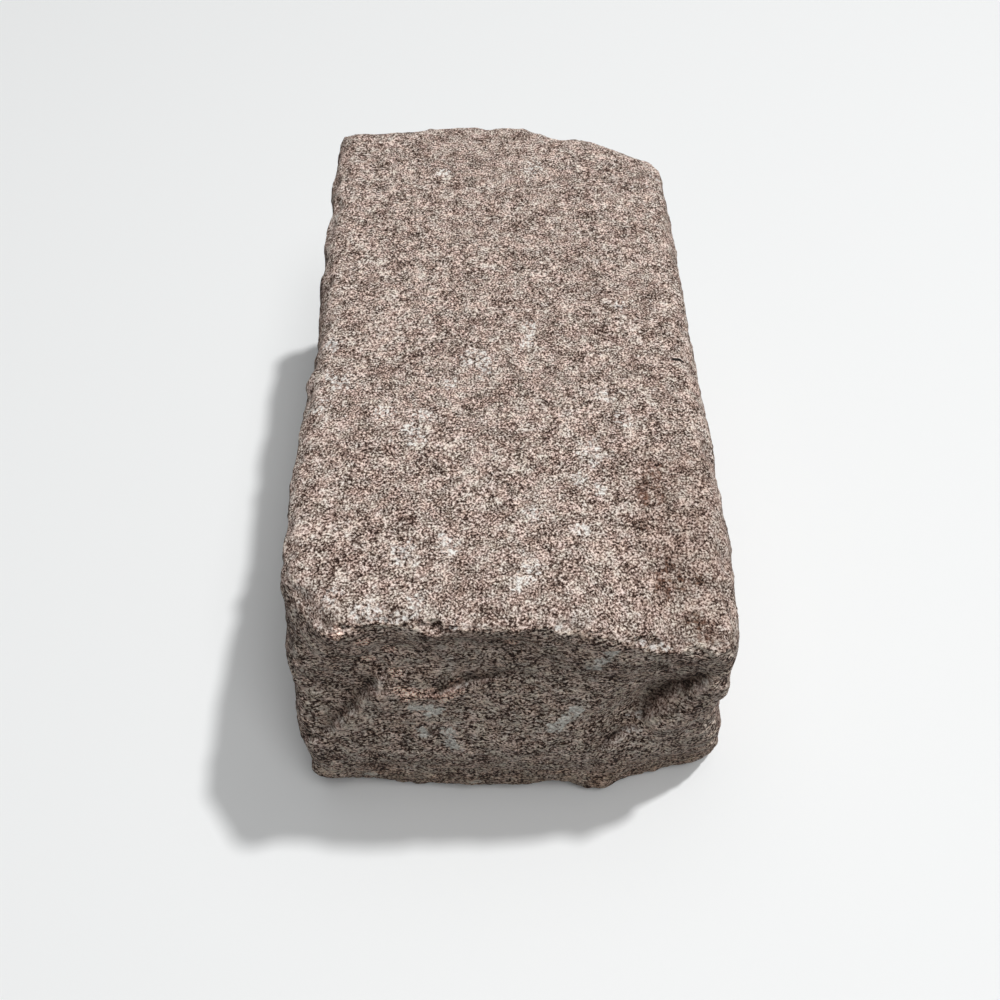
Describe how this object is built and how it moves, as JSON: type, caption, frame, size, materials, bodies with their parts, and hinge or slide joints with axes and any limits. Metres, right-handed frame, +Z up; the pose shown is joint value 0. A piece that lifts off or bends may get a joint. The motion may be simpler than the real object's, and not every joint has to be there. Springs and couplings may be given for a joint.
{
  "type": "granite belgian block",
  "caption": "Hand-split granite paving block: an oblong stone with a flat top, rough split sides, worn chipped edges and a flat bed to lie on.",
  "frame": {"origin": "middle of the bed, at floor level", "axes": "+Z up; Y along the length, with -Y towards the near end that has the corner facet; X across the width"},
  "size_m": [0.159, 0.254, 0.12],
  "materials": {
    "granite": "split natural stone, matt"
  },
  "bodies": {
    "root": {"granite_block": "granite"}
  },
  "joints": []
}
